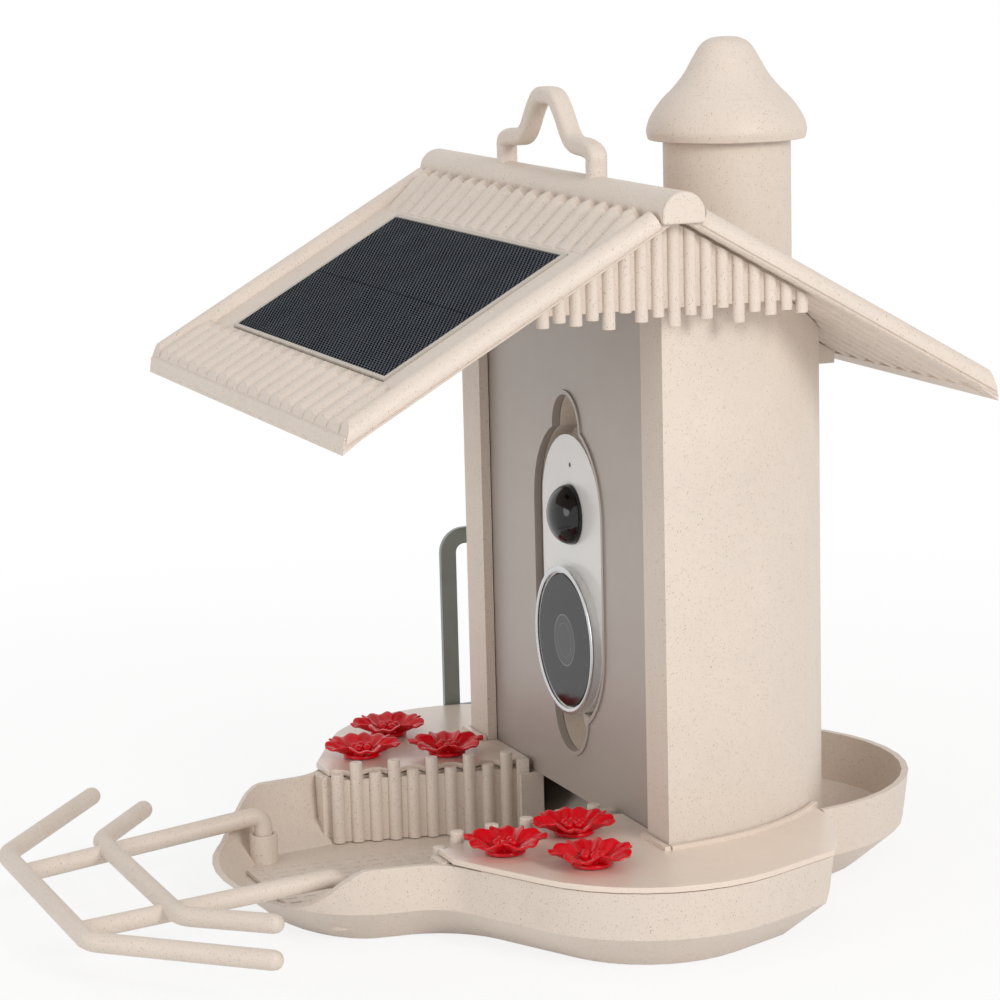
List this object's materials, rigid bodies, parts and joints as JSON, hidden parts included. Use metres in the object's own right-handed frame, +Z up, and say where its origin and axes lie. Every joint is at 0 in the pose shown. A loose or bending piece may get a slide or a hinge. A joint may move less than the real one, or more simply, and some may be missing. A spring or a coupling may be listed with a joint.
{
  "type": "camera bird feeder",
  "caption": "House-shaped bird feeder: gabled solar roof with chimney filler, seed hopper with camera window, lobed tray base with nectar lids, picket fences and a perch.",
  "frame": {"origin": "at the underside of the base, below the middle of the hopper's flat front", "axes": "+Z up; the perch and the camera face -Y; the wall bracket is on the -X side"},
  "size_m": [0.2801, 0.3292, 0.3],
  "materials": {
    "beige_plastic": "matt, finely speckled",
    "lid_plastic": "satin",
    "grey_panel": "satin",
    "flower_red": "glossy",
    "camera_white": "satin",
    "silver_trim": "satin",
    "dark_window": "glossy, tinted nearly opaque",
    "black_dome": "glossy",
    "dark_plastic": "matt",
    "solar_cell": "textured film over woven cells",
    "solar_rim": "satin",
    "bracket_steel": "satin",
    "screw_steel": "satin",
    "seal_rubber": "matt",
    "circuit_board": "satin",
    "battery_wrap": "satin"
  },
  "bodies": {
    "feeder": {"base_tray": "beige_plastic", "drain_grid": "beige_plastic", "picket_fence_right": "beige_plastic", "picket_fence_left": "beige_plastic", "hopper_shell": "beige_plastic", "seed_ramp": "beige_plastic", "chimney_tube": "beige_plastic", "roof_front_slope": "beige_plastic", "roof_rear_slope": "beige_plastic", "ridge_cap": "beige_plastic", "hanger_loop": "beige_plastic", "gable_fringe_right": "beige_plastic", "gable_fringe_left": "beige_plastic", "rear_roof_lug": "beige_plastic", "front_panel": "grey_panel", "camera_cradle": "grey_panel", "solar_junction_box": "dark_plastic", "solar_cells": "solar_cell", "solar_frame": "solar_rim", "mount_bracket": "bracket_steel", "rear_lug_screw": "screw_steel", "bracket_screw_1": "screw_steel", "bracket_screw_2": "screw_steel", "base_screw_1": "screw_steel", "base_screw_2": "screw_steel", "base_screw_3": "screw_steel", "base_screw_4": "screw_steel"},
    "camera": {"camera_front_shell": "camera_white", "camera_back_shell": "camera_white", "camera_bezel": "silver_trim", "camera_glass": "dark_window", "lens_barrel": "dark_plastic", "ir_led_ring": "circuit_board", "pir_dome": "black_dome", "pir_sensor": "silver_trim", "camera_board": "circuit_board", "battery_pack": "battery_wrap", "speaker": "dark_plastic", "camera_screw_1": "screw_steel", "camera_screw_2": "screw_steel", "camera_screw_3": "screw_steel", "camera_screw_4": "screw_steel"},
    "cap": {"chimney_cap": "beige_plastic", "cap_seal": "seal_rubber"},
    "lid_right": {"nectar_lid_right": "lid_plastic", "flower_port_right_1": "flower_red", "flower_port_right_2": "flower_red", "flower_port_right_3": "flower_red"},
    "lid_left": {"nectar_lid_left": "lid_plastic", "flower_port_left_1": "flower_red", "flower_port_left_2": "flower_red", "flower_port_left_3": "flower_red"},
    "perch_frame": {"perch": "beige_plastic"},
    "button": {"power_button": "dark_plastic"},
    "charge_cover": {"usb_cover": "seal_rubber"}
  },
  "joints": [
    {"name": "cap_lift", "type": "slide", "parent": "feeder", "child": "cap", "axis": [0, 0, 1], "range_m": [0, 0.06]},
    {"name": "camera_slide", "type": "slide", "parent": "feeder", "child": "camera", "axis": [0, -1, 0], "range_m": [0, 0.045]},
    {"name": "lid_right_lift", "type": "slide", "parent": "feeder", "child": "lid_right", "axis": [0, 0, 1], "range_m": [0, 0.045]},
    {"name": "lid_left_lift", "type": "slide", "parent": "feeder", "child": "lid_left", "axis": [0, 0, 1], "range_m": [0, 0.045]},
    {"name": "perch_lift", "type": "slide", "parent": "feeder", "child": "perch_frame", "axis": [0, 0, 1], "range_m": [0, 0.03]},
    {"name": "button_press", "type": "slide", "parent": "camera", "child": "button", "axis": [0, 0, -1], "range_m": [0, 0.0008], "stiffness_N_per_m": 1500, "springref_m": -0.0005},
    {"name": "cover_pull", "type": "slide", "parent": "camera", "child": "charge_cover", "axis": [0, 0, -1], "range_m": [0, 0.005]}
  ]
}
